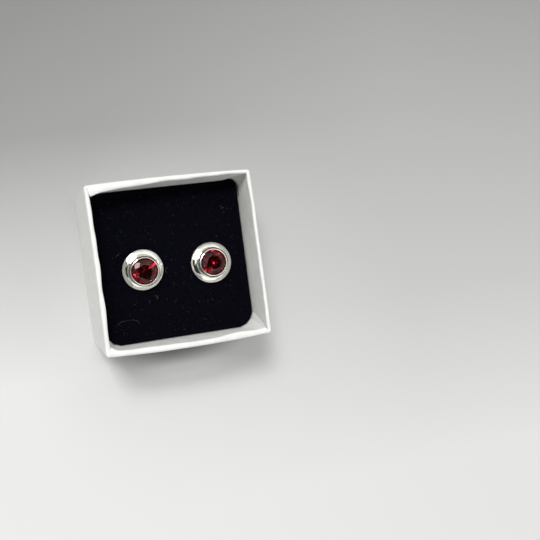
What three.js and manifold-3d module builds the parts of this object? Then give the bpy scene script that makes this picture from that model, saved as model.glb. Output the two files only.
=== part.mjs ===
// A pair of round stud earrings pushed into the flocked pad of an open square gift box.
// Millimetres, +Z up. The box rests on its base and the origin is the middle of that base.
// +X is the right-hand side and +Y the far side, seen by someone who looks down into the box.

import * as THREE from 'three';
import { mergeVertices } from 'three/addons/utils/BufferGeometryUtils.js';
import Module from 'manifold-3d';

// Driving dimensions: box tray, folded from one sheet of board
const boxWidth = 42;
const boxLength = 42;
const boxHeight = 38;
const boardThickness = 0.9;
const boxCornerRadius = 0.8;
const rimBow = 0.35; // how far the middle of the near and far rim edges stands out
const rimSideBow = 0.06; // the same on the left and right

// Driving dimensions: flocked foam pad
const padRecess = 11; // from the rim down to the top of the pad
const padClearance = 0.3; // to the walls and the floor of the box
const padFarGap = 1.3; // to the far wall, where the pad is a little short
const padEdgeRadius = 1.1;
const padCornerRadius = 1.6;

// Driving dimensions: stones, round brilliants
const stoneDiameter = 6.8;
const tableShare = 0.56; // table width over stone width
const starShare = 0.5; // how far the star facets reach from the table to the girdle
const lowerHalfShare = 0.72; // how far the lower halves reach from the girdle to the culet
const crownAngle = 34;
const pavilionAngle = 41;
const girdleThickness = 0.16;
const stoneGap = 0.12; // between the stone and the metal around it

// Driving dimensions: settings, each a bezel and post soldered to a domed flange
const bezelWall = 0.36;
const bezelLean = 0.16; // how far the bezel leans in from its foot to its lip
const lipOverlap = 0.14; // how far the lip covers the stone
const lipThickness = 0.22;
const seatWidth = 0.55;
const flangeWidth = 1.42;
const flangeRise = 1.5;
const flangeEdge = 0.5; // height of the flange at its outer edge
const grooveWidth = 0.16; // width and depth of the line cut at the foot of the bezel
const backThickness = 0.45;
const culetGap = 0.25;
const postDiameter = 0.9;
const postLength = 10;
const postClearance = 0.3;

// Driving dimensions: where the studs sit on the pad
const studSpacing = 18.2;
const pairOffsetX = 0.9;
const pairOffsetY = -1.33;
const pairStep = 0.52; // how much further up the pad one stud sits than the other
const studSeatGap = 0.3;
const leftStudTilt = 7.5; // degrees, the left stud leans towards the near side

// One row for each stud: shares of studSpacing and pairStep from the middle of the pair
const studs = [
  { side: 'left', along: -0.5, up: 0.5, tilt: leftStudTilt },
  { side: 'right', along: 0.5, up: -0.5, tilt: 0 },
];

// One row for each corner of the pad, as shares of padCornerRadius
const padCorners = [
  { corner: 'right far', radius: 1 },
  { corner: 'left far', radius: 1 },
  { corner: 'left near', radius: 1.5 },
  { corner: 'right near', radius: 2.4 },
];

const cornerSteps = 5;
const sideSteps = 6;
const edgeSteps = 4;
const latheSegments = 48;

const toRadians = THREE.MathUtils.degToRad;
const wasm = await Module();
wasm.setup();

// Derived sizes
const padTop = boxHeight - padRecess;
const padFloor = boardThickness + padClearance;
const stoneRadius = stoneDiameter / 2;
const pavilionSlope = Math.tan(toRadians(pavilionAngle));
const crownSlope = Math.tan(toRadians(crownAngle));
const girdleBottom = backThickness + culetGap + stoneRadius * pavilionSlope;
const girdleTop = girdleBottom + girdleThickness;
const bezelInner = stoneRadius + stoneGap;
const bezelFoot = bezelInner + bezelWall;
const flangeRadius = bezelFoot + grooveWidth + flangeWidth;

// Materials
const paper = new THREE.MeshStandardMaterial({ color: 0xecebe8, roughness: 0.75, metalness: 0 });
const flock = new THREE.MeshStandardMaterial({ color: 0x08080d, roughness: 1, metalness: 0 });
const silver = new THREE.MeshStandardMaterial({ color: 0xdedbd2, roughness: 0.14, metalness: 1 });
const garnet = new THREE.MeshStandardMaterial({ color: 0x5c0711, roughness: 0.05, metalness: 0 });

// A rectangle with rounded corners, anticlockwise. The radii run right far, left far, left near,
// right near, and the bows, by which a side stands out, run far, left, near, right.
function roundedOutline(halfX, halfY, radii, bows = [0, 0, 0, 0]) {
  const points = [];
  const centres = [
    { sx: 1, sy: 1, start: 0 },
    { sx: -1, sy: 1, start: 90 },
    { sx: -1, sy: -1, start: 180 },
    { sx: 1, sy: -1, start: 270 },
  ];
  for (let i = 0; i < 4; i += 1) {
    const { sx, sy, start } = centres[i];
    const radius = radii[i];
    for (let k = 0; k <= cornerSteps; k += 1) {
      const angle = toRadians(start + (90 * k) / cornerSteps);
      points.push(
        new THREE.Vector2(
          sx * (halfX - radius) + radius * Math.cos(angle),
          sy * (halfY - radius) + radius * Math.sin(angle),
        ),
      );
    }
    const next = centres[(i + 1) % 4];
    const from = points[points.length - 1];
    const turn = toRadians(start + 90);
    const nextRadius = radii[(i + 1) % 4];
    const to = new THREE.Vector2(
      next.sx * (halfX - nextRadius) + nextRadius * Math.cos(turn),
      next.sy * (halfY - nextRadius) + nextRadius * Math.sin(turn),
    );
    for (let k = 1; k < sideSteps; k += 1) {
      const share = k / sideSteps;
      const out = bows[i] * 4 * share * (1 - share);
      points.push(
        new THREE.Vector2().lerpVectors(from, to, share)
          .add(new THREE.Vector2(Math.cos(turn), Math.sin(turn)).multiplyScalar(out)),
      );
    }
  }
  return points;
}

// Skins a closed body over outlines with as many points each, with a flat cap at both ends.
// Each section is { outline, z }, and the sections run from the lower cap along the skin.
function loft(sections) {
  const count = sections[0].outline.length;
  const positions = [];
  const indices = [];
  for (const { outline, z } of sections) {
    for (const point of outline) positions.push(point.x, point.y, z);
  }
  for (let s = 0; s + 1 < sections.length; s += 1) {
    for (let k = 0; k < count; k += 1) {
      const a = s * count + k;
      const b = s * count + ((k + 1) % count);
      indices.push(a, b, b + count, a, b + count, a + count);
    }
  }
  const last = (sections.length - 1) * count;
  const startCentre = positions.length / 3;
  positions.push(0, 0, sections[0].z);
  const endCentre = startCentre + 1;
  positions.push(0, 0, sections[sections.length - 1].z);
  for (let k = 0; k < count; k += 1) {
    const next = (k + 1) % count;
    indices.push(startCentre, next, k);
    indices.push(endCentre, last + k, last + next);
  }
  const geometry = new THREE.BufferGeometry();
  geometry.setAttribute('position', new THREE.Float32BufferAttribute(positions, 3));
  geometry.setIndex(indices);
  return geometry;
}

// Box tray: up the outside, over the rounded fold of the rim, and down the inside
function trayGeometry() {
  const fold = boardThickness / 2;
  const section = (inset, z) => {
    const radius = Math.max(boxCornerRadius - inset, 0.15 * boxCornerRadius);
    const rise = (z / boxHeight) ** 2;
    const bows = [rimBow, rimSideBow, rimBow, rimSideBow].map((bow) => bow * rise);
    const radii = [radius, radius, radius, radius];
    return { outline: roundedOutline(boxWidth / 2 - inset, boxLength / 2 - inset, radii, bows), z };
  };
  const sections = [section(0, 0), section(0, boxHeight / 2)];
  for (let k = 0; k <= 2 * edgeSteps; k += 1) {
    const angle = (Math.PI * k) / (2 * edgeSteps);
    sections.push(section(fold - fold * Math.cos(angle), boxHeight - fold + fold * Math.sin(angle)));
  }
  sections.push(section(boardThickness, boxHeight / 2));
  sections.push(section(boardThickness, boardThickness));
  return loft(sections);
}

// Pad: a block with soft upper edges and a bore for each post
function padGeometry(bores) {
  const halfX = boxWidth / 2 - boardThickness - padClearance;
  const halfY = boxLength / 2 - boardThickness - (padClearance + padFarGap) / 2;
  const section = (inset, z) => {
    const radii = padCorners.map((row) => Math.max(row.radius * padCornerRadius - inset, 0.2));
    return { outline: roundedOutline(halfX - inset, halfY - inset, radii), z };
  };
  const sections = [section(0, padFloor)];
  for (let k = 0; k <= edgeSteps; k += 1) {
    const angle = (Math.PI / 2) * (k / edgeSteps);
    sections.push(
      section(
        padEdgeRadius * (1 - Math.cos(angle)),
        padTop - padEdgeRadius * (1 - Math.sin(angle)),
      ),
    );
  }
  const block = loft(sections);
  block.translate(0, (padClearance - padFarGap) / 2, 0);
  return bores.reduce((body, bore) => cut(body, bore), block);
}

function toManifold(geometry) {
  const bare = geometry.clone();
  bare.deleteAttribute('normal');
  bare.deleteAttribute('uv');
  const merged = mergeVertices(bare, 1e-4);
  return new wasm.Manifold(
    new wasm.Mesh({
      numProp: 3,
      vertProperties: new Float32Array(merged.attributes.position.array),
      triVerts: new Uint32Array(merged.index.array),
    }),
  );
}

function cut(geometry, tool) {
  const mesh = toManifold(geometry).subtract(toManifold(tool)).getMesh();
  const result = new THREE.BufferGeometry();
  result.setAttribute('position', new THREE.Float32BufferAttribute(mesh.vertProperties, 3));
  result.setIndex(Array.from(mesh.triVerts));
  return result;
}

// Setting: post, back, domed flange, groove, bezel, lip over the stone, seat and cup.
// Its back lies in the plane z = 0 and its axis is +Z.
function settingGeometry() {
  const postRadius = postDiameter / 2;
  const postTip = postRadius / 3;
  const edgeRound = flangeEdge / 2;
  const foot = flangeEdge + flangeRise;
  const lipInner = stoneRadius - lipOverlap;
  const lipUnder = girdleTop + lipOverlap * crownSlope + stoneGap;
  const lipOuter = bezelFoot - bezelLean;
  const lipMiddle = (lipOuter + lipInner) / 2;
  const lipHalf = (lipOuter - lipInner) / 2;
  const seatInner = bezelInner - seatWidth;
  const seat = girdleBottom - (stoneRadius - seatInner) * pavilionSlope - stoneGap;

  const profile = [
    [0, -postLength],
    [postRadius - postTip, -postLength],
    [postRadius, -postLength + postTip],
    [postRadius, 0],
    [flangeRadius - edgeRound, 0],
  ];
  for (let k = 1; k <= edgeSteps; k += 1) {
    const angle = (Math.PI / 2) * (k / edgeSteps);
    profile.push([
      flangeRadius - edgeRound * (1 - Math.sin(angle)),
      flangeEdge - edgeRound - edgeRound * Math.cos(angle),
    ]);
  }
  const domeSteps = 2 * edgeSteps;
  for (let k = 0; k <= domeSteps; k += 1) {
    const angle = (Math.PI / 2) * (k / domeSteps);
    profile.push([
      bezelFoot + grooveWidth + flangeWidth * Math.cos(angle),
      flangeEdge + flangeRise * Math.sin(angle),
    ]);
  }
  profile.push([bezelFoot, foot - grooveWidth]);
  for (let k = 0; k <= edgeSteps; k += 1) {
    const angle = Math.PI * (k / edgeSteps);
    profile.push([
      lipMiddle + lipHalf * Math.cos(angle),
      lipUnder + lipThickness * Math.sin(angle),
    ]);
  }
  profile.push([bezelInner, girdleTop + stoneGap / 2]);
  profile.push([bezelInner, seat]);
  profile.push([seatInner, seat]);
  profile.push([seatInner, backThickness]);
  profile.push([0, backThickness]);
  const geometry = new THREE.LatheGeometry(
    profile.map(([radius, z]) => new THREE.Vector2(radius, z)),
    latheSegments,
  );
  geometry.rotateX(Math.PI / 2);
  return geometry;
}

// Stone: table, 8 stars, 8 kites, 16 upper halves, girdle, 16 lower halves and 8 pavilion mains.
// Its girdle is centred on the axis at the height that the setting gives it.
function stoneGeometry() {
  const mains = 8;
  const tableRadius = stoneRadius * tableShare;
  const starRadius = tableRadius + (stoneRadius - tableRadius) * starShare;
  const lowerRadius = stoneRadius * (1 - lowerHalfShare);
  const half = Math.PI / mains;
  const crownZ = (radius) => girdleTop + (stoneRadius - radius) * crownSlope;
  const pavilionZ = (radius) => girdleBottom - (stoneRadius - radius) * pavilionSlope;
  const around = (radius, turn, z) =>
    new THREE.Vector3(radius * Math.cos(turn * half), radius * Math.sin(turn * half), z);

  const centre = new THREE.Vector3(0, 0, crownZ(tableRadius));
  const culet = new THREE.Vector3(0, 0, pavilionZ(0));
  const table = (i) => around(tableRadius, 2 * i, crownZ(tableRadius));
  const star = (i) => around(starRadius, 2 * i + 1, crownZ(starRadius * Math.cos(half)));
  const upper = (turn) => around(stoneRadius, turn, girdleTop);
  const lower = (turn) => around(stoneRadius, turn, girdleBottom);
  const wedge = (i) => around(lowerRadius, 2 * i + 1, pavilionZ(lowerRadius * Math.cos(half)));

  const facets = [];
  for (let i = 0; i < mains; i += 1) {
    facets.push([centre, table(i), table(i + 1)]);
    facets.push([table(i), star(i), table(i + 1)]);
    facets.push([table(i), star(i - 1), upper(2 * i)]);
    facets.push([table(i), upper(2 * i), star(i)]);
    facets.push([star(i), upper(2 * i), upper(2 * i + 1)]);
    facets.push([star(i), upper(2 * i + 1), upper(2 * i + 2)]);
    for (const turn of [2 * i, 2 * i + 1]) {
      facets.push([upper(turn), lower(turn), lower(turn + 1)]);
      facets.push([upper(turn), lower(turn + 1), upper(turn + 1)]);
      facets.push([lower(turn), wedge(i), lower(turn + 1)]);
    }
    facets.push([lower(2 * i), wedge(i - 1), culet]);
    facets.push([lower(2 * i), culet, wedge(i)]);
  }
  const geometry = new THREE.BufferGeometry().setFromPoints(facets.flat());
  return mergeVertices(geometry, 1e-5);
}

// The bore that a post leaves in the pad, in the stud's own frame
function boreGeometry() {
  const top = flangeRadius;
  const length = postLength + postClearance + top;
  const bore = new THREE.CylinderGeometry(
    postDiameter / 2 + postClearance,
    postDiameter / 2 + postClearance,
    length,
    16,
  );
  bore.rotateX(Math.PI / 2);
  bore.translate(0, 0, top - length / 2);
  return bore;
}

// The place of a stud: its axis leans towards the near side, and its lowest edge is just off the pad
function studPlace({ along, up, tilt }) {
  const lean = toRadians(tilt);
  const place = new THREE.Group();
  place.position.set(
    pairOffsetX + along * studSpacing,
    pairOffsetY + up * pairStep,
    padTop + studSeatGap + flangeRadius * Math.sin(lean),
  );
  place.rotation.x = lean;
  place.updateMatrixWorld(true);
  return place;
}

function named(name, geometry, material) {
  const mesh = new THREE.Mesh(geometry, material);
  mesh.name = name;
  return mesh;
}

const giftBoxWithStuds = new THREE.Group();
giftBoxWithStuds.add(named('box_tray', trayGeometry(), paper));

const bores = [];
for (const row of studs) {
  const place = studPlace(row);
  bores.push(boreGeometry().applyMatrix4(place.matrixWorld));
  place.add(named(`setting_${row.side}`, settingGeometry(), silver));
  place.add(named(`stone_${row.side}`, stoneGeometry(), garnet));
  giftBoxWithStuds.add(place);
}
giftBoxWithStuds.add(named('flocked_pad', padGeometry(bores), flock));

export default giftBoxWithStuds;
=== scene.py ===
import math
import random

import bpy
from mathutils import Matrix, Vector, noise


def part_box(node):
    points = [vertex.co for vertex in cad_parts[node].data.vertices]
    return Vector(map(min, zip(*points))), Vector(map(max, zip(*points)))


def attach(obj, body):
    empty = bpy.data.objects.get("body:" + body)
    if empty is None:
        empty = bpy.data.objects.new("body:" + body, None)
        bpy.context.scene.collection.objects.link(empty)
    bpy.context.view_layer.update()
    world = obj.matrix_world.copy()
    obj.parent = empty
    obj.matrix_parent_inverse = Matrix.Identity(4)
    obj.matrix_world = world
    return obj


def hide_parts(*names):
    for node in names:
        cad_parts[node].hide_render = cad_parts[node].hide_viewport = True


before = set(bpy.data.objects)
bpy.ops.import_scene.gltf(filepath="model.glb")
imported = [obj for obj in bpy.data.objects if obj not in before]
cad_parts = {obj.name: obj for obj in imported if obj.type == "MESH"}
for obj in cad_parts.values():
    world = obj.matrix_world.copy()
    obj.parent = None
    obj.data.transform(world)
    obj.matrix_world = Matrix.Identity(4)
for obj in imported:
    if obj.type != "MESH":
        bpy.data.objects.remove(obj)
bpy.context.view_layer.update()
scene = bpy.context.scene
mm = 0.001
print("frame loaded:", ", ".join(sorted(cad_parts)))


# Helpers

def boxOf(node):  # a node's lowest and highest corner, in millimetres
    low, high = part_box(node)
    return low / mm, high / mm


def ripple(x, y, z, size, offset=0.0):  # smooth unevenness from -1 to 1
    return noise.noise(Vector((x / size + offset, y / size - offset, z / size)))


def direction(row):  # turn from +X towards +Y and rise from the floor, both in degrees
    turn, rise = math.radians(row["turn"]), math.radians(row["rise"])
    return Vector((math.cos(turn) * math.cos(rise), math.sin(turn) * math.cos(rise), math.sin(rise)))


def ringFaces(rings, across):  # bands between closed rings of points, and a fan to the point at each end
    faces = []
    for ring in range(rings - 1):
        for k in range(across):
            a, b = ring * across + k, ring * across + (k + 1) % across
            faces.append((a, b, b + across, a + across))
    last, ends = (rings - 1) * across, rings * across
    for k in range(across):
        after = (k + 1) % across
        faces.append((ends, after, k))
        faces.append((ends + 1, last + k, last + after))
    return faces


def makePiece(name, points, faces, material, sharpAngle=40, place=None, darker=None, darkFaces=()):
    mesh = bpy.data.meshes.new(name)
    mesh.from_pydata([[mm * value for value in point] for point in points], [], faces)
    if place is not None:
        mesh.transform(place)
    mesh.update()
    mesh.materials.append(material)
    if darker is not None:
        mesh.materials.append(darker)
        for face in darkFaces:
            mesh.polygons[face].material_index = 1
    mesh.shade_smooth()
    mesh.set_sharp_from_angle(angle=math.radians(sharpAngle))
    piece = bpy.data.objects.new(name, mesh)
    scene.collection.objects.link(piece)
    return piece


def newMaterial(name, **sockets):
    material = bpy.data.materials.new(name)
    material.use_nodes = True
    shader = material.node_tree.nodes["Principled BSDF"]
    for socket, value in sockets.items():
        shader.inputs[socket.replace("_", " ")].default_value = value
    return material, material.node_tree, shader


def addNode(tree, kind, inputs=None, **settings):
    node = tree.nodes.new(kind)
    for key, value in settings.items():
        setattr(node, key, value)
    for key, value in (inputs or {}).items():
        node.inputs[key].default_value = value
    return node


def addNoise(tree, coords, size, detail=3.0, stretch=(1, 1, 1)):  # size in millimetres
    mapping = addNode(tree, "ShaderNodeMapping", {"Scale": [s / (size * mm) for s in stretch]})
    texture = addNode(tree, "ShaderNodeTexNoise", {"Scale": 1.0, "Detail": detail})
    tree.links.new(coords, mapping.inputs["Vector"])
    tree.links.new(mapping.outputs["Vector"], texture.inputs["Vector"])
    return texture.outputs["Fac"]


def addRamp(tree, factor, stops):
    ramp = addNode(tree, "ShaderNodeValToRGB")
    while len(ramp.color_ramp.elements) < len(stops):
        ramp.color_ramp.elements.new(0.5)
    for element, (position, colour) in zip(ramp.color_ramp.elements, stops):
        element.position = position
        element.color = (*colour, 1.0)
    tree.links.new(factor, ramp.inputs["Fac"])
    return ramp.outputs["Color"]


def addMottle(tree, shader, finish, positions=(0.35, 0.7), detail=4.0):  # a clouded base colour
    coords = addNode(tree, "ShaderNodeTexCoord").outputs["Object"]
    cloud = addNoise(tree, coords, finish["mottle"], detail)
    stops = list(zip(positions, (finish["dark"], finish["light"])))
    tree.links.new(addRamp(tree, cloud, stops), shader.inputs["Base Color"])
    return coords


def addBump(tree, shader, height, distance, before=None):
    bump = addNode(tree, "ShaderNodeBump", {"Strength": 1.0, "Distance": distance * mm})
    tree.links.new(height, bump.inputs["Height"])
    if before is not None:
        tree.links.new(before, bump.inputs["Normal"])
    tree.links.new(bump.outputs["Normal"], shader.inputs["Normal"])
    return bump.outputs["Normal"]


# Camera, at the photograph's angle to the box

camera = {
    "place": (-36.24, 2.34, 238.2),
    "aim": (34.15, -6.83, 0.0),
    "up": (0.1321, 0.9912, 0.0009),
    "lens": 54.06,
    "sensor": 36.0,
}


def placeCamera():
    data = bpy.data.cameras.new("camera")
    data.sensor_width = camera["sensor"]
    data.lens = camera["lens"]
    data.clip_start = 0.01
    place = Vector(camera["place"]) * mm
    forward = (Vector(camera["aim"]) * mm - place).normalized()
    right = forward.cross(Vector(camera["up"])).normalized()
    up = right.cross(forward)
    view = bpy.data.objects.new("camera", data)
    view.matrix_world = Matrix.Translation(place) @ Matrix((right, up, -forward)).transposed().to_4x4()
    scene.collection.objects.link(view)
    scene.camera = view


placeCamera()
scene.view_settings.view_transform = "Standard"
print("camera placed")


# Light: a white tent, two soft panels high on the far left, and the floor

tent = [  # share of the way from straight down to straight up, and brightness
    (0.0, 0.5),
    (0.5, 0.42),
    (0.7, 0.44),
    (0.8, 0.66),
    (0.87, 0.9),
    (0.95, 1.15),
    (1.0, 1.45),
]
tentLeast = 0.03
tentSpots = [  # direction in degrees, radius and soft edge in degrees, brightness added
    {"turn": -25, "rise": 82, "radius": 16, "soft": 10, "add": -1.4},
    {"turn": 203, "rise": 52, "radius": 10, "soft": 4, "add": -1.0},
    {"turn": 174, "rise": 47, "radius": 9, "soft": 4, "add": -0.95},
    {"turn": 222, "rise": 61, "radius": 6, "soft": 4, "add": -0.9},
    {"turn": 200, "rise": 66, "radius": 8, "soft": 4, "add": -1.1},
    {"turn": 20, "rise": 35, "radius": 22, "soft": 20, "add": 0.2},
    {"turn": 180, "rise": 5, "radius": 35, "soft": 25, "add": 0.16},
    {"turn": 270, "rise": 22, "radius": 50, "soft": 22, "add": -0.33},
    {"turn": 268, "rise": 42, "radius": 14, "soft": 8, "add": 0.72},
    {"turn": 318, "rise": 45, "radius": 12, "soft": 10, "add": 0.4},
]
panels = [
    {"name": "keyPanel", "turn": 125, "rise": 67, "away": 900, "size": (170, 170), "bright": 46,
     "diffuse": True},
    {"name": "windowPanel", "turn": 135, "rise": 46, "away": 900, "size": (370, 280), "bright": 8.5,
     "diffuse": False},
]
floor = {
    "size": 1600,
    "drop": 0.05,
    "tint": (0.995, 1.0, 0.985),
    # The left and right shades paint light falling off across the floor, darker towards the far side
    "edges": (-40, 80),  # places along X: only the left shades before the first, only the right after
    "left": [(-110, 0.82), (-30, 0.79), (10, 0.55), (40, 0.32), (85, 0.23)],  # place along Y, and shade, a painted light falloff that darkens towards the far side
    "right": [(-110, 0.81), (-75, 0.79), (-20, 0.58), (85, 0.32)],
    "paintedShadowAndLight": [  # painted shadow and painted light on the near side of the box: middle, reach along both axes, and shade there
        {"at": (2, -24.5), "reach": (26, 6.9), "shade": 0.34},
        {"at": (4, -32.2), "reach": (22, 4.2), "shade": 1.27},
    ],
    "paintedPatchCore": 0.2,  # share of the reach that is shaded in full
}


def lightTent():
    world = bpy.data.worlds.new("whiteTent")
    world.use_nodes = True
    scene.world = world
    tree = world.node_tree
    coords = addNode(tree, "ShaderNodeTexCoord")
    split = addNode(tree, "ShaderNodeSeparateXYZ")
    share = addNode(tree, "ShaderNodeMapRange", {"From Min": -1.0, "From Max": 1.0})
    tree.links.new(coords.outputs["Generated"], split.inputs["Vector"])
    tree.links.new(split.outputs["Z"], share.inputs["Value"])
    bright = addRamp(tree, share.outputs["Result"], [(at, (b, b, b)) for at, b in tent])
    for spot in tentSpots:
        facing = addNode(tree, "ShaderNodeVectorMath", {1: direction(spot)}, operation="DOT_PRODUCT")
        amount = addNode(tree, "ShaderNodeMapRange", {
            "From Min": math.cos(math.radians(spot["radius"] + spot["soft"])),
            "From Max": math.cos(math.radians(spot["radius"])), "To Max": spot["add"],
        }, interpolation_type="SMOOTHSTEP")
        total = addNode(tree, "ShaderNodeMath", operation="ADD")
        tree.links.new(coords.outputs["Generated"], facing.inputs[0])
        tree.links.new(facing.outputs["Value"], amount.inputs["Value"])
        tree.links.new(bright, total.inputs[0])
        tree.links.new(amount.outputs["Result"], total.inputs[1])
        bright = total.outputs["Value"]
    least = addNode(tree, "ShaderNodeMath", {1: tentLeast}, operation="MAXIMUM")
    tree.links.new(bright, least.inputs[0])
    tree.links.new(least.outputs["Value"], tree.nodes["Background"].inputs["Color"])


def lightPanel(row):
    away = direction(row)
    data = bpy.data.lights.new(row["name"], "AREA")
    data.shape = "RECTANGLE"
    data.size, data.size_y = (side * mm for side in row["size"])
    data.energy = row["bright"] * math.pi * data.size * data.size_y
    light = bpy.data.objects.new(row["name"], data)
    light.location = away * row["away"] * mm
    light.rotation_euler = away.to_track_quat("Z", "Y").to_euler()
    light.visible_diffuse = row["diffuse"]
    scene.collection.objects.link(light)


def layFloor():
    material, tree, shader = newMaterial("paleFloor", Roughness=0.85)
    coords = addNode(tree, "ShaderNodeTexCoord")
    split = addNode(tree, "ShaderNodeSeparateXYZ")
    tree.links.new(coords.outputs["Object"], split.inputs["Vector"])
    # painted light falloff: the floor's colour darkens towards the far side, blended from the left shades
    # to the right ones
    start, end = floor["edges"]
    across = addNode(tree, "ShaderNodeMapRange", {"From Min": start * mm, "From Max": end * mm})
    tree.links.new(split.outputs["X"], across.inputs["Value"])
    blend = addNode(tree, "ShaderNodeMixRGB")
    tree.links.new(across.outputs["Result"], blend.inputs["Fac"])
    for side, socket in (("left", "Color1"), ("right", "Color2")):
        near, far = floor[side][0][0], floor[side][-1][0]
        share = addNode(tree, "ShaderNodeMapRange", {"From Min": near * mm, "From Max": far * mm})
        tree.links.new(split.outputs["Y"], share.inputs["Value"])
        stops = [((at - near) / (far - near), [shade * part for part in floor["tint"]])
                 for at, shade in floor[side]]
        tree.links.new(addRamp(tree, share.outputs["Result"], stops), blend.inputs[socket])
    colour = blend.outputs["Color"]
    # painted shadow close to the box's near side, and painted light just beyond it
    for patch in floor["paintedShadowAndLight"]:
        scale = [1 / (reach * mm) for reach in patch["reach"]]
        shift = [-at * mm * size for at, size in zip(patch["at"], scale)]
        mapping = addNode(tree, "ShaderNodeMapping", {"Scale": (*scale, 0), "Location": (*shift, 0)})
        away = addNode(tree, "ShaderNodeVectorMath", operation="LENGTH")
        shade = addNode(tree, "ShaderNodeMapRange", {
            "From Min": floor["paintedPatchCore"], "From Max": 1.0, "To Min": patch["shade"], "To Max": 1.0,
        }, interpolation_type="SMOOTHSTEP")
        tree.links.new(coords.outputs["Object"], mapping.inputs["Vector"])
        tree.links.new(mapping.outputs["Vector"], away.inputs[0])
        tree.links.new(away.outputs["Value"], shade.inputs["Value"])
        shaded = addNode(tree, "ShaderNodeVectorMath", operation="SCALE")
        tree.links.new(colour, shaded.inputs[0])
        tree.links.new(shade.outputs["Result"], shaded.inputs["Scale"])
        colour = shaded.outputs["Vector"]
    tree.links.new(colour, shader.inputs["Base Color"])
    half = floor["size"] / 2
    corners = [(x * half, y * half, -floor["drop"]) for x, y in ((-1, -1), (1, -1), (1, 1), (-1, 1))]
    makePiece("floor", corners, [(0, 1, 2, 3)], material)


lightTent()
for row in panels:
    lightPanel(row)
layFloor()
print("tent, panels and floor are up")


# Finishes

paper = {
    "light": (0.90, 0.897, 0.875),
    "dark": (0.84, 0.837, 0.81),
    "roughness": 0.62,
    "mottle": 3.5,
    "grain": 0.16,
    "grainDepth": 0.012,
    "streak": 0.5,
    "streakDepth": 0.008,
}
flock = {
    "light": (0.0026, 0.0026, 0.0062),
    "dark": (0.0006, 0.0006, 0.002),
    "sheen": 0.02,
    "sheenRoughness": 0.45,
    "sheenTint": (0.5, 0.53, 0.8, 1.0),
    "gloss": 0.05,
    "mottle": 0.35,
    "nap": 0.09,
    "napDepth": 0.05,
}
fluff = {
    "light": (0.065, 0.065, 0.09),
    "dark": (0.012, 0.012, 0.02),
    "roughness": 0.9,
    "mottle": 2.0,
}
silver = {
    "light": (0.97, 0.96, 0.875),
    "dark": (0.89, 0.875, 0.79),
    "roughness": 0.075,
    "roughnessShares": (0.7, 1.5),
    "mottle": 1.6,
    "scratch": 0.05,
    "scratchDepth": 0.0015,
}
# painted shade of the silver in the groove and under the lip
paintedShade = {
    "light": (0.22, 0.21, 0.19),
    "dark": (0.05, 0.045, 0.04),
    "roughness": 0.45,
    "mottle": 0.6,
}
garnet = {
    "light": (0.14, 0.0016, 0.0045),
    "dark": (0.126, 0.00128, 0.0036),
    "gloss": (0.78, 0.55, 0.57, 1.0),
    "ior": 1.76,
    "mottle": 2.5,
}


def paperFinish():
    material, tree, shader = newMaterial("whiteBoard", Roughness=paper["roughness"])
    coords = addMottle(tree, shader, paper, (0.35, 0.6))
    streak = addNoise(tree, coords, paper["streak"], 2.0, (1, 1, 0.12))
    streaks = addBump(tree, shader, streak, paper["streakDepth"])
    grain = addNoise(tree, coords, paper["grain"], 3.0)
    addBump(tree, shader, grain, paper["grainDepth"], streaks)
    return material


def flockFinish():
    material, tree, shader = newMaterial(
        "blackFlock", Roughness=1.0, Sheen_Weight=flock["sheen"],
        Sheen_Roughness=flock["sheenRoughness"], Sheen_Tint=flock["sheenTint"],
        Specular_IOR_Level=flock["gloss"],
    )
    coords = addMottle(tree, shader, flock)
    addBump(tree, shader, addNoise(tree, coords, flock["nap"], 2.0), flock["napDepth"])
    return material


def lintFinish():
    material, tree, shader = newMaterial("paleLint", Roughness=fluff["roughness"])
    addMottle(tree, shader, fluff, detail=1.0)
    return material


def silverFinish():
    material, tree, shader = newMaterial("polishedSilver", Metallic=1.0)
    coords = addMottle(tree, shader, silver, (0.3, 0.6), 3.0)
    fine = addNoise(tree, coords, silver["mottle"] / 4, 4.0)
    smoothest, dullest = (share * silver["roughness"] for share in silver["roughnessShares"])
    spread = addNode(tree, "ShaderNodeMapRange", {
        "From Min": 0.3, "From Max": 0.7, "To Min": smoothest, "To Max": dullest,
    })
    tree.links.new(fine, spread.inputs["Value"])
    tree.links.new(spread.outputs["Result"], shader.inputs["Roughness"])
    scratch = addNoise(tree, coords, silver["scratch"], 2.0, (1, 0.08, 0.4))
    addBump(tree, shader, scratch, silver["scratchDepth"])
    return material


def paintedShadeFinish():  # painted shade: darker silver in the groove and under the lip, where shade falls
    material, tree, shader = newMaterial("paintedShadeSilver", Metallic=1.0, Roughness=paintedShade["roughness"])
    addMottle(tree, shader, paintedShade, (0.3, 0.7), 3.0)
    return material


def garnetFinish():
    material, tree, shader = newMaterial(
        "darkRedStone", Roughness=0.0, IOR=garnet["ior"], Transmission_Weight=1.0,
        Specular_Tint=garnet["gloss"],
    )
    addMottle(tree, shader, garnet, (0.3, 0.7), 2.0)
    return material


whiteBoard = paperFinish()
blackFlock = flockFinish()
paleLint = lintFinish()
polishedSilver = silverFinish()
paintedShadeSilver = paintedShadeFinish()
darkRedStone = garnetFinish()
print("finishes mixed")


# Box tray: one folded sheet, whose inner flaps end in slanting cuts near the corners

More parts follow.
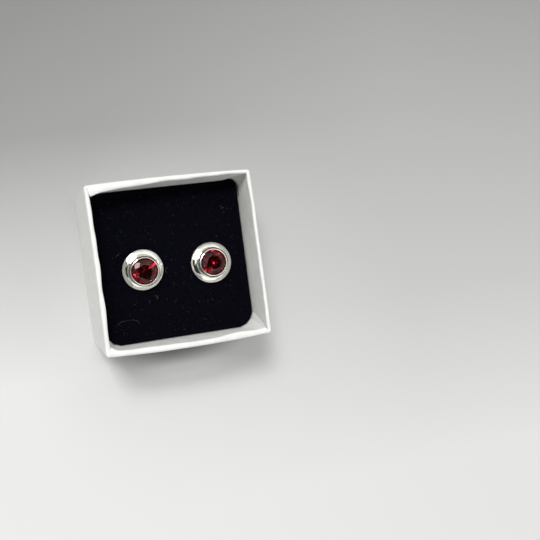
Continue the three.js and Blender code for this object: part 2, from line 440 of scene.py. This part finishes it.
tray = {
    "wall": 0.9,
    "flap": 0.4,
    "cornerRadius": 0.8,
    "baseRadius": 0.35,
    "bulges": (0.06, 0.35),  # how far the sides of the frame's tray bend out, along X and Y
    "toPad": 11.0,
    "recessStart": 0.5,  # depth at which the paper of the corners starts to step back behind the flaps
    "recessRun": 0.7,
    "sharpest": 0.12,
    "cutStart": 0.3,
    "cutWidth": 0.07,
    "tuckReaches": (1.0, 2.2),
    "wander": 0.05,
    "wanderSize": 9.0,
    "fineWander": 0.012,
    "fineWanderSize": 1.6,
    "foldWander": 0.2,
    "foldWanderSize": 5.5,
    "foldReach": 1.3,
    "crease": 0.018,
    "pleat": 2.6,
    "pleatSize": 5.0,
    "pleatDrift": 2.5,  # how far the waves stray from level, in radians
    "pleatStart": 2.0,
    "rimLift": 0.06,
    "rimLiftSize": 11.0,
    "rimLiftReach": 2.0,
    "cornerSteps": 24,
    "sideSteps": 60,
    "wallRows": 16,
    "baseRows": 4,
    "rimRows": 11,
    "firstRows": (0.1, 0.25),  # depths below the rolled rim
    "innerStep": 0.4,
    "innerFine": 11.5,  # depth down to which the rows are a step apart
    "deepRows": (12, 14, 20, 28),
}
# Each side from its first corner to its last, anticlockwise. The lean is how far its inner flap has
# come in at the level of the pad, the cuts how far they have run from the corner there, the folds how
# much wider than the wall the rim is, the tucks how much wider still at its corners, the pleat how deep
# the flap's fine waves are, and the bulge how far the rim bends out. The web is the radius that the
# paper in the first corner has at the pad, and the fill how much of that corner's step it takes up.
traySides = [
    {"turn": 90, "lean": 0.36, "cuts": (1.2, 0.8), "folds": (0.05, 1.35), "tucks": (0.0, 0.7),
     "pleat": 0.012, "web": 2.9, "fill": 0, "bulge": 0.35},
    {"turn": 180, "lean": 0.14, "cuts": (1.5, 0.05), "folds": (0.25, 0.3), "tucks": (0.0, 0.0),
     "pleat": 0.01, "web": 2.0, "fill": 0, "bulge": -0.22},
    {"turn": 270, "lean": 0.13, "cuts": (0.05, 0.05), "folds": (0.5, 0.8), "tucks": (0.9, 0.0),
     "pleat": 0.035, "web": 4.9, "fill": 1, "bulge": 0.6},
    {"turn": 0, "lean": 0.14, "cuts": (0.05, 2.6), "folds": (0.05, 0.0), "tucks": (0.0, 0.0),
     "pleat": 0.012, "web": 4.7, "fill": 1, "bulge": 0.06},
]
# Signs of each corner, the sides that meet there as their numbers above, first the one that faces along
# X, and how far the corner's rim stands out along X and Y
trayCorners = [
    {"signs": (1, 1), "sides": (3, 0), "stand": (0, 0)},
    {"signs": (-1, 1), "sides": (1, 0), "stand": (0, 0)},
    {"signs": (-1, -1), "sides": (1, 2), "stand": (0, 0.2)},
    {"signs": (1, -1), "sides": (3, 2), "stand": (0.3, 0.45)},
]


# The tray's outline at one height, before it wanders: each point, its way out, how much wider than the
# wall the rim is there, and the depth of the fine waves
def trayOutline(half, height, inset, z, inner):
    depth = height - z
    share = min(max(depth / tray["toPad"], 0.0), 1.0) if inner else 0.0
    recessed = min(max((depth - tray["recessStart"]) / tray["recessRun"], 0.0), 1.0)
    recess = tray["flap"] * recessed if inner else 0.0
    recesses = [recess * (1 - share * side["fill"]) for side in traySides]
    sharp = max(tray["cornerRadius"] - inset + recess, tray["sharpest"])
    radii = [sharp + (side["web"] - sharp) * share for side in traySides]
    rise = max(z / height, 0.0) ** 2 * (1 - share)
    centres = []
    for corner, radius, step in zip(trayCorners, radii, recesses):
        place = []
        for k in range(2):
            lean = traySides[corner["sides"][k]]["lean"]
            place.append(half[k] - inset + step - lean * share - radius + corner["stand"][k] * rise)
        centres.append(Vector((corner["signs"][0] * place[0], corner["signs"][1] * place[1])))
    row = []
    for i, side in enumerate(traySides):
        radius, after = radii[i], radii[(i + 1) % 4]
        step, stepAfter = recesses[i], recesses[(i + 1) % 4]
        for k in range(tray["cornerSteps"] + 1):
            angle = math.radians(side["turn"] - 90 + 90 * k / tray["cornerSteps"])
            out = Vector((math.cos(angle), math.sin(angle)))
            wave = 1 - math.cos(8 * math.pi * k / tray["cornerSteps"])
            crease = tray["crease"] * side["web"] * share * wave
            row.append((centres[i] + (radius + crease) * out, out, 0.0, 0.0))
        turn = math.radians(side["turn"])
        out = Vector((math.cos(turn), math.sin(turn)))
        start, end = centres[i] + radius * out, centres[(i + 1) % 4] + after * out
        length = (end - start).length
        first, last = (tray["cutStart"] + (reach - tray["cutStart"]) * share for reach in side["cuts"])
        places = [(first, 0.0)]
        steps = tray["sideSteps"]
        for k in range(steps + 1):
            s = first + tray["cutWidth"] + (length - first - last - 2 * tray["cutWidth"]) * k / steps
            places.append((s, step + (stepAfter - step) * s / length))
        places.append((length - last, 0.0))
        for s, inward in places:
            part = s / length
            bulge = side["bulge"] * rise * 4 * part * (1 - part)
            wider = side["folds"][0] + (side["folds"][1] - side["folds"][0]) * part ** 2
            for away, tuck, reach in zip((s, length - s), side["tucks"], tray["tuckReaches"]):
                wider += tuck * math.exp(-(away / reach) ** 2)
            row.append((start + (end - start) * part + out * (bulge - inward), out, wider, side["pleat"]))
    return row


def trayRow(half, height, inset, z, inner):
    depth = height - z
    points = []
    for at, out, wider, pleat in trayOutline(half, height, inset, z, inner):
        push = tray["wander"] * ripple(at.x, at.y, z, tray["wanderSize"], 3.0)
        push += tray["fineWander"] * ripple(at.x, at.y, z, tray["fineWanderSize"], 9.0)
        if inner or inset > 0:
            near = math.exp(-max(depth - tray["wall"] / 2, 0.0) / tray["foldReach"])
            uneven = tray["foldWander"] * ripple(at.x, at.y, 0, tray["foldWanderSize"], 1.7)
            push += (uneven * (1 + wider) - wider) * near * min(inset / tray["wall"], 1.0)
        if inner:
            drift = tray["pleatDrift"] * ripple(at.x, at.y, 0, tray["pleatSize"], 6.0)
            phase = 2 * math.pi * depth / tray["pleat"] + drift
            push += pleat * min(depth / tray["pleatStart"], 1.0) * (1 + math.sin(phase))
        lift = tray["rimLift"] * (ripple(at.x, at.y, 0, tray["rimLiftSize"], 5.0) - 1)
        lift *= math.exp(-depth / tray["rimLiftReach"])  # never above the frame's rim
        points.append((at.x + out.x * push, at.y + out.y * push, z + lift))
    return points


def makeTray():
    low, high = boxOf("box_tray")
    half = [(high[k] - low[k]) / 2 - tray["bulges"][k] for k in range(2)]  # at the base
    height = high.z
    fold = tray["wall"] / 2
    base = tray["baseRadius"]
    rows = []
    for k in range(tray["baseRows"]):
        angle = math.pi / 2 * k / (tray["baseRows"] - 1)
        inset, z = base * (1 - math.sin(angle)), base * (1 - math.cos(angle))
        rows.append(trayRow(half, height, inset, z, False))
    count = tray["wallRows"]
    for k in range(1, count):
        rows.append(trayRow(half, height, 0.0, base + (height - fold - base) * k / count, False))
    for k in range(tray["rimRows"]):
        angle = math.pi * k / (tray["rimRows"] - 1)
        inset = fold - fold * math.cos(angle)
        inner = k > tray["rimRows"] // 2
        rows.append(trayRow(half, height, inset, height - fold + fold * math.sin(angle), inner))
    step = tray["innerStep"]
    depths = [step * k for k in range(1, round(tray["innerFine"] / step))]
    for depth in (*tray["firstRows"], *depths, *tray["deepRows"]):
        rows.append(trayRow(half, height, tray["wall"], height - fold - depth, True))
    rows.append(trayRow(half, height, tray["wall"], tray["wall"], True))
    points = [point for row in rows for point in row]
    points += [(0, 0, 0), (0, 0, tray["wall"])]
    piece = makePiece("trayBoard", points, ringFaces(len(rows), len(rows[0])), whiteBoard, 32)
    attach(piece, "root")
    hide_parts("box_tray")


makeTray()
print("tray folded")


# Studs: where each stands, worked out from its stone

stud = {
    "backThickness": 0.45,
    "culetGap": 0.25,
}


def studPlace(side):
    points = [vertex.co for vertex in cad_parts["stone_" + side].data.vertices]
    culet = min(points, key=lambda point: point.z)
    middle = sum(points, Vector()) / len(points)
    axis = (middle - culet).normalized()
    origin = culet - axis * (stud["backThickness"] + stud["culetGap"]) * mm
    turn = Vector((0, 0, 1)).rotation_difference(axis).to_matrix().to_4x4()
    return Matrix.Translation(origin) @ turn


studPlaces = {side: studPlace(side) for side in ("left", "right")}


# Flocked pad: a fine grid with soft edges, a little nap and a hollow where each post goes in

pad = {
    "edgeRadius": 0.5,
    "cornerRadius": 1.6,
    "cornerShares": {"right far": 0.9, "left far": 1.0, "left near": 2.9, "right near": 2.8},
    "farReach": 0.8,  # how far the flock swells towards the far side
    "farBack": 1.0,  # and how far it stays back at the left end of that side
    "farBackLength": 5.5,
    "sharpest": 0.25,
    "grid": 0.27,
    "edgeRows": 5,
    "sideRows": 10,
    "rise": 0.12,
    "crown": 0.12,
    "nap": 0.06,
    "napSize": 0.42,
    "fineNap": 0.04,
    "fineNapSize": 0.24,
    "sideNap": 0.5,
    "swell": 0.10,
    "swellSize": 7.0,
    "hollowRadius": 1.1,
    "hollowDepth": 0.7,
}


def padPoint(u, v, inset, half):
    share = pad["cornerShares"][("right" if u > 0 else "left") + (" far" if v > 0 else " near")]
    radius = max(share * pad["cornerRadius"] - inset, pad["sharpest"])
    x, y = abs(u) * (half[0] - inset), abs(v) * (half[1] - inset)
    a = (x - (half[0] - inset - radius)) / radius
    b = (y - (half[1] - inset - radius)) / radius
    if a > 0 and b > 0:
        x += radius * (a * math.sqrt(1 - b * b / 2) - a)
        y += radius * (b * math.sqrt(1 - a * a / 2) - b)
    x, y = math.copysign(x, u), math.copysign(y, v)
    share = min(max((x + half[0]) / pad["farBackLength"], 0.0), 1.0)
    return x, y + max(v, 0.0) ** 2 * ((pad["farReach"] + pad["farBack"]) * share - pad["farBack"])


def makePad():
    low, high = boxOf("flocked_pad")
    half = ((high.x - low.x) / 2, (high.y - low.y) / 2)
    centre = ((high.x + low.x) / 2, (high.y + low.y) / 2)
    entries = [place.translation / mm for place in studPlaces.values()]
    flat = pad["edgeRadius"]
    countX = round(2 * half[0] / pad["grid"])
    countY = round(2 * half[1] / pad["grid"])

    def napped(x, y, z):
        lift = pad["nap"] * ripple(x, y, z, pad["napSize"])
        return lift + pad["fineNap"] * ripple(x, y, z, pad["fineNapSize"], 4.0)

    def topHeight(x, y):
        z = high.z + pad["rise"] + pad["swell"] * ripple(x, y, 0, pad["swellSize"], 2.0)
        z += pad["crown"] * (1 - (x / half[0]) ** 2) * (1 - (y / half[1]) ** 2)
        for entry in entries:
            away = math.hypot(x - entry.x, y - entry.y) / pad["hollowRadius"]
            z -= pad["hollowDepth"] * math.exp(-away * away)
        return z + napped(x, y, 0)

    points = []
    for j in range(countY + 1):
        for i in range(countX + 1):
            u, v = 2 * i / countX - 1, 2 * j / countY - 1
            x, y = padPoint(u, v, flat, half)
            x, y = x + centre[0], y + centre[1]
            points.append((x, y, topHeight(x, y)))
    faces = []
    wide = countX + 1
    for j in range(countY):
        for i in range(countX):
            a = j * wide + i
            faces.append((a, a + 1, a + wide + 1, a + wide))

    border = [(i, 0) for i in range(countX)] + [(countX, j) for j in range(countY)]
    border += [(i, countY) for i in range(countX, 0, -1)] + [(0, j) for j in range(countY, 0, -1)]
    previous = [j * wide + i for i, j in border]
    edgeRows = [math.pi / 2 * k / pad["edgeRows"] for k in range(1, pad["edgeRows"] + 1)]
    rows = [(flat * (1 - math.sin(t)), high.z - flat * (1 - math.cos(t)), math.cos(t)) for t in edgeRows]
    reach = high.z - flat - low.z
    rows += [(0.0, high.z - flat - reach * k / pad["sideRows"], 0.0) for k in range(1, pad["sideRows"] + 1)]
    for inset, z, top in rows:
        row = []
        for i, j in border:
            u, v = 2 * i / countX - 1, 2 * j / countY - 1
            x, y = padPoint(u, v, inset, half)
            fuzz = pad["sideNap"] * napped(x, y, z)
            x, y = x * (1 + fuzz / half[0]), y * (1 + fuzz / half[1])
            x, y = x + centre[0], y + centre[1]
            row.append(len(points))
            points.append((x, y, z + top * (topHeight(x, y) - high.z)))
        for k in range(len(border)):
            after = (k + 1) % len(border)
            faces.append((previous[after], previous[k], row[k], row[after]))
        previous = row
    points.append((centre[0], centre[1], low.z))
    for k in range(len(border)):
        faces.append((previous[(k + 1) % len(border)], previous[k], len(points) - 1))
    piece = makePiece("flockedPad", points, faces, blackFlock, 80)
    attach(piece, "root")
    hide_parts("flocked_pad")
    return topHeight


padHeight = makePad()
print("pad flocked")


# Lint on the pad: a few fibres that show, and a scatter of small ones

lint = {
    "fibres": 150,
    "specks": 420,
    "radius": 0.022,
    "shownWider": 1.7,
    "shownRest": (0.05, 0.03),  # height above the flock along a fibre that shows, and at its last end
    "rest": 0.02,  # height of the other fibres' ends and of the specks
    "arch": 0.05,
    "seed": 11,
    "margin": 1.2,
}
shownFibres = [  # points on the pad, x and y
    [(-16.4, -14.5), (-15.3, -13.8), (-13.7, -13.6), (-12.0, -13.7), (-11.0, -14.2), (-10.7, -14.9)],
    [(-14.5, 2.9), (-14.2, 3.2), (-13.9, 3.6)],
    [(-13.8, 3.2), (-13.6, 3.6), (-13.2, 3.8)],
    [(-1.6, -1.3), (-2.2, -1.9), (-2.2, -2.4), (-1.9, -2.8)],
    [(-0.5, -5.3), (-0.4, -5.8), (-0.3, -6.2)],
    [(2.4, -5.4), (2.3, -5.8), (2.1, -6.3)],
    [(-7.2, -9.2), (-7.3, -9.6), (-7.4, -10.1)],
    [(-5.9, -8.4), (-5.4, -8.3), (-5.1, -8.8), (-5.4, -9.2)],
    [(2.4, -2.0), (2.7, -2.1), (2.9, -2.3)],
    [(14.8, 12.2), (15.2, 12.5), (15.6, 12.4)],
    [(16.1, 12.0), (16.4, 12.3), (16.7, 12.1)],
    [(18.9, 15.9), (19.0, 15.4)],
]


def makeLint():
    low, high = boxOf("flocked_pad")
    draw = random.Random(lint["seed"])
    points, faces = [], []

    def addTube(path, radius, sides=5):
        first = len(points)
        for n, at in enumerate(path):
            before, after = path[max(n - 1, 0)], path[min(n + 1, len(path) - 1)]
            along = (after - before).normalized()
            across = along.cross(Vector((0, 0, 1))).normalized()
            up = across.cross(along)
            slim = 0.5 if n in (0, len(path) - 1) else 1.0
            for k in range(sides):
                angle = 2 * math.pi * k / sides
                spot = at + radius * slim * (across * math.cos(angle) + up * math.sin(angle))
                points.append(tuple(spot))
        for n in range(len(path) - 1):
            for k in range(sides):
                a, b = first + n * sides + k, first + n * sides + (k + 1) % sides
                faces.append((a, a + sides, b + sides, b))
        end = first + (len(path) - 1) * sides
        faces.append(tuple(first + k for k in range(sides)))
        faces.append(tuple(end + k for k in reversed(range(sides))))

    def onPad(x, y, lift):
        return Vector((x, y, padHeight(x, y) + lift))

    shownLift, endLift = lint["shownRest"]
    for route in shownFibres:
        path = []
        for (x0, y0), (x1, y1) in zip(route, route[1:]):
            for k in range(3):
                path.append(onPad(x0 + (x1 - x0) * k / 3, y0 + (y1 - y0) * k / 3, shownLift))
        path.append(onPad(*route[-1], endLift))
        addTube(path, lint["radius"] * lint["shownWider"])
    edge = lint["margin"]
    for _ in range(lint["fibres"]):
        x, y = draw.uniform(low.x + edge, high.x - edge), draw.uniform(low.y + edge, high.y - edge)
        heading, bend = draw.uniform(0, 2 * math.pi), draw.uniform(-0.5, 0.5)
        step = draw.uniform(0.05, 0.2)
        path = []
        for k in range(6):
            path.append(onPad(x, y, lint["rest"] + lint["arch"] * math.sin(math.pi * k / 5)))
            x, y = x + step * math.cos(heading), y + step * math.sin(heading)
            heading += bend
        addTube(path, lint["radius"] * draw.uniform(0.5, 1.1), 4)
    for _ in range(lint["specks"]):
        x, y = draw.uniform(low.x + edge, high.x - edge), draw.uniform(low.y + edge, high.y - edge)
        size = draw.uniform(0.02, 0.06)
        heading = draw.uniform(0, math.pi)
        step = Vector((math.cos(heading), math.sin(heading), 0.2)) * size
        spot = onPad(x, y, lint["rest"])
        addTube([spot - step, spot, spot + step], size, 4)
    piece = makePiece("padLint", points, faces, paleLint)
    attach(piece, "root")


makeLint()
print("lint scattered")


# Settings: post, back, domed flange, groove, bezel and the lip burnished over the stone

setting = {
    "postRadius": 0.45,
    "postLength": 10.0,
    "postTip": 0.55,  # share of the radius that the tip is rounded by
    "postRings": (-7.5, -5, -2.5, -1.2),
    "postFillet": 0.18,
    "undersideRings": (1.6, 3.2, 4.6),
    "flangeRadius": {"left": 5.32, "right": 5.4},
    "edgeRound": 0.16,
    "domeTop": 1.62,
    "domeInner": 4.16,
    "domeStart": 16,  # slope in degrees at the bezel
    "domeEnd": 37,  # slope at the edge
    "domeSteps": 16,
    "bezelFoot": 4.0,
    "bezelTop": 3.95,
    "bezelEdge": [(0.03, 0.04), (0.07, 0.03)],  # inwards from the bezel's top and up from the groove
    "groove": 3.42,
    "grooveDepth": 0.1,
    "grooveStart": 0.11,
    "grooveEnd": 0.01,
    "bezelInner": 3.52,
    "lipOuter": 3.74,
    "lipInner": {"left": 3.36, "right": 3.26},
    "lipTop": 4.2,
    "lipEdge": 0.05,
    "lipChamfer": 0.02,
    "lipLow": 3.93,
    "bearingRun": 0.06,
    "bearingDrop": 0.05,
    "bearing": 3.84,
    "seatInner": 2.97,
    "seat": 3.16,
    "back": stud["backThickness"],
    "backFillet": 0.2,
    "backRing": 1.5,
    "turns": 240,
    "unevenness": 0.018,
    "unevenSizes": (2.2, 0.7),
    "unevenShares": (1.0, 0.3),
    "unevenLift": 0.7,
    "evenInside": (2.0, 0.2),  # radius and height up to which the silver is even
    "rimWave": 0.02,
    "rimWaves": 9,
    "rimWaveSize": 1.6,
}
dents = {  # on a flange: radius, angle in degrees, width, depth
    "left": [(4.66, 13, 0.2, 0.12), (4.5, 30, 0.24, -0.05)],
    "right": [(5.0, 158, 0.3, 0.03)],
}
dentsAbove = 0.6
# how far the painted shade in the groove and under the lip reaches
paintedShadeReach = {
    "grooveInner": 0.02,
    "grooveOuter": 0.06,
    "grooveBelow": 0.2,
    "grooveAbove": 0.025,
    "lipOutwards": 0.1,
    "lipBelow": 0.1,
    "lipEdge": 0.05,
}


def arc(radius, z, bend, start, end, steps=4):  # around (radius, z), in degrees from outwards to upwards
    angles = [math.radians(start + (end - start) * k / steps) for k in range(steps + 1)]
    return [(radius + bend * math.cos(angle), z + bend * math.sin(angle)) for angle in angles]


def settingProfile(side):
    s = setting
    outer, lipInner = s["flangeRadius"][side], s["lipInner"][side]
    tip, fillet, low = s["postRadius"] * s["postTip"], s["postFillet"], s["edgeRound"]
    profile = [(0, -s["postLength"])]
    profile += arc(s["postRadius"] - tip, tip - s["postLength"], tip, -90, 0)
    profile += [(s["postRadius"], z) for z in s["postRings"]]
    profile += arc(s["postRadius"] + fillet, -fillet, fillet, 180, 90)
    profile += [(radius, 0) for radius in s["undersideRings"]]
    profile += arc(outer - low, low, low, -90, 0)
    # the dome falls away from the bezel with a slope that grows outwards
    steps = s["domeSteps"]
    edgeTurn = math.radians(90 - s["domeEnd"])
    span = outer - low * (1 - math.cos(edgeTurn)) - s["domeInner"]
    dome = [(s["domeInner"], s["domeTop"])]
    for k in range(steps):
        slope = math.radians(s["domeStart"] + (s["domeEnd"] - s["domeStart"]) * (k + 0.5) / steps)
        radius, z = dome[-1]
        dome.append((radius + span / steps, z - span / steps * math.tan(slope)))
    edgeMiddle = dome[-1][1] - low * math.sin(edgeTurn)
    profile += arc(outer - low, edgeMiddle, low, 0, math.degrees(edgeTurn), 5)[:-1]
    profile += reversed(dome)
    # a cove into the bezel's wall, whose top edge is round
    cove = s["domeInner"] - s["bezelFoot"]
    profile += arc(s["domeInner"], s["domeTop"] + cove, cove, -90, -180)[1:]
    for k in range(1, 5):
        profile.append((s["bezelFoot"] + (s["bezelTop"] - s["bezelFoot"]) * k / 4,
                        s["domeTop"] + cove + (s["groove"] - s["domeTop"] - cove) * k / 4))
    profile += [(s["bezelTop"] - inwards, s["groove"] + up) for inwards, up in s["bezelEdge"]]
    # the groove below the lip
    profile += [(radius, s["groove"] - s["grooveDepth"])
                for radius in (s["bezelTop"] - s["grooveStart"], s["lipOuter"] + s["grooveEnd"])]
    # the lip is a round bead that falls outwards, with a small edge at the stone
    bead, chamfer = s["lipOuter"] - lipInner - s["lipEdge"], s["lipChamfer"]
    profile.append((s["lipOuter"], s["groove"] + chamfer))
    profile.append((s["lipOuter"], (s["groove"] + s["lipTop"] - bead) / 2))
    profile += arc(s["lipOuter"] - bead, s["lipTop"] - bead, bead, 0, 90, 8)
    profile += [
        (lipInner + chamfer, s["lipTop"] - chamfer),
        (lipInner, s["lipTop"] - 3 * chamfer),
        (lipInner + chamfer, s["lipLow"]),
        (s["bezelInner"] - s["bearingRun"], s["lipLow"] - s["bearingDrop"]),
        (s["bezelInner"], s["bearing"]),
        (s["bezelInner"], s["seat"]),
        (s["seatInner"], s["seat"]),
        (s["seatInner"], s["back"] + s["backFillet"]),
        (s["seatInner"] - s["backFillet"], s["back"]),
        (s["backRing"], s["back"]),
        (0, s["back"]),
    ]
    return profile


def inPaintedShade(side, radius, z):  # in the groove or under the lip, where the silver takes painted shade
    s, reach = setting, paintedShadeReach
    inGroove = (s["lipOuter"] - reach["grooveInner"] < radius < s["bezelTop"] - reach["grooveOuter"]
                and s["groove"] - reach["grooveBelow"] < z < s["groove"] + reach["grooveAbove"])
    underLip = (radius < s["lipInner"][side] + reach["lipOutwards"]
                and s["lipLow"] - reach["lipBelow"] < z < s["lipTop"] - reach["lipEdge"])
    return inGroove or underLip


def makeSetting(side, phase):
    profile = settingProfile(side)
    turns = setting["turns"]
    inner = profile[1:-1]
    points = []
    for radius, z in inner:
        for k in range(turns):
            angle = 2 * math.pi * k / turns
            x, y = radius * math.cos(angle), radius * math.sin(angle)
            lift = 0.0
            if radius > setting["evenInside"][0] and z > setting["evenInside"][1]:
                wave = 0.0
                for share, size in zip(setting["unevenShares"], setting["unevenSizes"]):
                    wave += share * setting["unevenness"] * ripple(x, y, z, size, phase)
                x, y = x * (1 + wave / radius), y * (1 + wave / radius)
                lift = setting["unevenLift"] * wave
            if z > setting["lipLow"]:
                around = setting["rimWaves"] * math.cos(angle), setting["rimWaves"] * math.sin(angle)
                push = setting["rimWave"] * ripple(*around, phase, setting["rimWaveSize"])
                x, y = x * (1 + push / radius), y * (1 + push / radius)
            for at, turn, width, depth in dents[side]:
                if z > dentsAbove and radius > setting["domeInner"]:
                    cx, cy = at * math.cos(math.radians(turn)), at * math.sin(math.radians(turn))
                    lift -= depth * math.exp(-((x - cx) ** 2 + (y - cy) ** 2) / (width * width))
            points.append((x, y, z + lift))
    points += [(0, 0, profile[0][1]), (0, 0, profile[-1][1])]
    faces = ringFaces(len(inner), turns)
    # faces in the groove and under the lip take the painted shade
    dark = []
    for ring, (start, end) in enumerate(zip(inner, inner[1:])):
        if inPaintedShade(side, (start[0] + end[0]) / 2, (start[1] + end[1]) / 2):
            dark += range(ring * turns, (ring + 1) * turns)
    name = "setting" + side.capitalize()
    piece = makePiece(name, points, faces, polishedSilver, 38, studPlaces[side], paintedShadeSilver, dark)
    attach(piece, "root")
    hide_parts("setting_" + side)


for side, phase in (("left", 3.1), ("right", 8.4)):
    makeSetting(side, phase)
print("settings turned")


# Stones keep the cut of the frame and get their finish

for side in ("left", "right"):
    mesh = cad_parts["stone_" + side].data
    mesh.materials.clear()
    mesh.materials.append(darkRedStone)
print("stones set")
